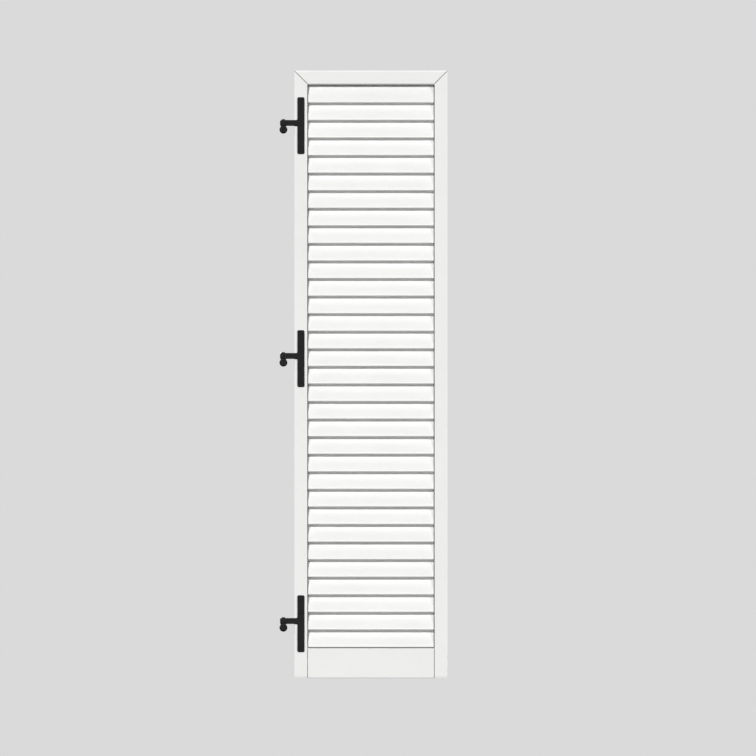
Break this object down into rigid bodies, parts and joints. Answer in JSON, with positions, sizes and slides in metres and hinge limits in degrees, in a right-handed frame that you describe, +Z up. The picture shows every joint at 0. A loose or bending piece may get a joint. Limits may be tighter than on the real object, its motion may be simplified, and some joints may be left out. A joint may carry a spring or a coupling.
{
  "type": "louvred shutter",
  "caption": "Tall louvred window shutter: a framed leaf of fixed slanted slats that swings on strap hinges and wall pintles.",
  "frame": {"origin": "on the axis of the bottom pintle's tail, where it enters the wall's face", "axes": "+X across the leaf away from its hinges, +Y back into the wall along the pintles' tails, +Z up along the leaf's height"},
  "size_m": [0.5937, 0.112, 2.14],
  "materials": {
    "white_powder_coat": "satin white powder coat on aluminium",
    "black_powder_coat": "fine-textured black powder coat on steel",
    "black_nylon": "moulded black nylon",
    "bare_aluminium": "mill-finish extruded aluminium",
    "zinc_plated_steel": "zinc-plated steel",
    "white_plastic": "moulded white polyamide"
  },
  "bodies": {
    "pintles": {"bottom_pintle": "black_powder_coat", "middle_pintle": "black_powder_coat", "top_pintle": "black_powder_coat", "wall_nuts": "black_powder_coat", "wall_washers": "black_powder_coat"},
    "leaf": {"hinge_stile": "white_powder_coat", "closing_stile": "white_powder_coat", "top_rail": "white_powder_coat", "bottom_rail": "white_powder_coat", "slat_01": "white_powder_coat", "slat_02": "white_powder_coat", "slat_03": "white_powder_coat", "slat_04": "white_powder_coat", "slat_05": "white_powder_coat", "slat_06": "white_powder_coat", "slat_07": "white_powder_coat", "slat_08": "white_powder_coat", "slat_09": "white_powder_coat", "slat_10": "white_powder_coat", "slat_11": "white_powder_coat", "slat_12": "white_powder_coat", "slat_13": "white_powder_coat", "slat_14": "white_powder_coat", "slat_15": "white_powder_coat", "slat_16": "white_powder_coat", "slat_17": "white_powder_coat", "slat_18": "white_powder_coat", "slat_19": "white_powder_coat", "slat_20": "white_powder_coat", "slat_21": "white_powder_coat", "slat_22": "white_powder_coat", "slat_23": "white_powder_coat", "slat_24": "white_powder_coat", "slat_25": "white_powder_coat", "slat_26": "white_powder_coat", "slat_27": "white_powder_coat", "slat_28": "white_powder_coat", "slat_29": "white_powder_coat", "slat_30": "white_powder_coat", "slat_31": "white_powder_coat", "slat_32": "white_powder_coat", "left_slat_caps": "black_nylon", "right_slat_caps": "black_nylon", "left_corner_cleat": "bare_aluminium", "right_corner_cleat": "bare_aluminium", "cleat_pins": "zinc_plated_steel", "rail_screws": "zinc_plated_steel", "bottom_backing_plate": "zinc_plated_steel", "middle_backing_plate": "zinc_plated_steel", "top_backing_plate": "zinc_plated_steel", "hole_plugs": "white_plastic", "left_foot_cap": "white_plastic", "right_foot_cap": "white_plastic", "bottom_strap": "black_powder_coat", "middle_strap": "black_powder_coat", "top_strap": "black_powder_coat", "strap_screws": "black_powder_coat", "eye_bushes": "black_nylon"}
  },
  "joints": [
    {"name": "leaf_swing", "type": "hinge", "parent": "pintles", "child": "leaf", "pos_m": [0, -0.025, 0], "axis": [0, 0, -1], "range_deg": [0, 180]}
  ]
}
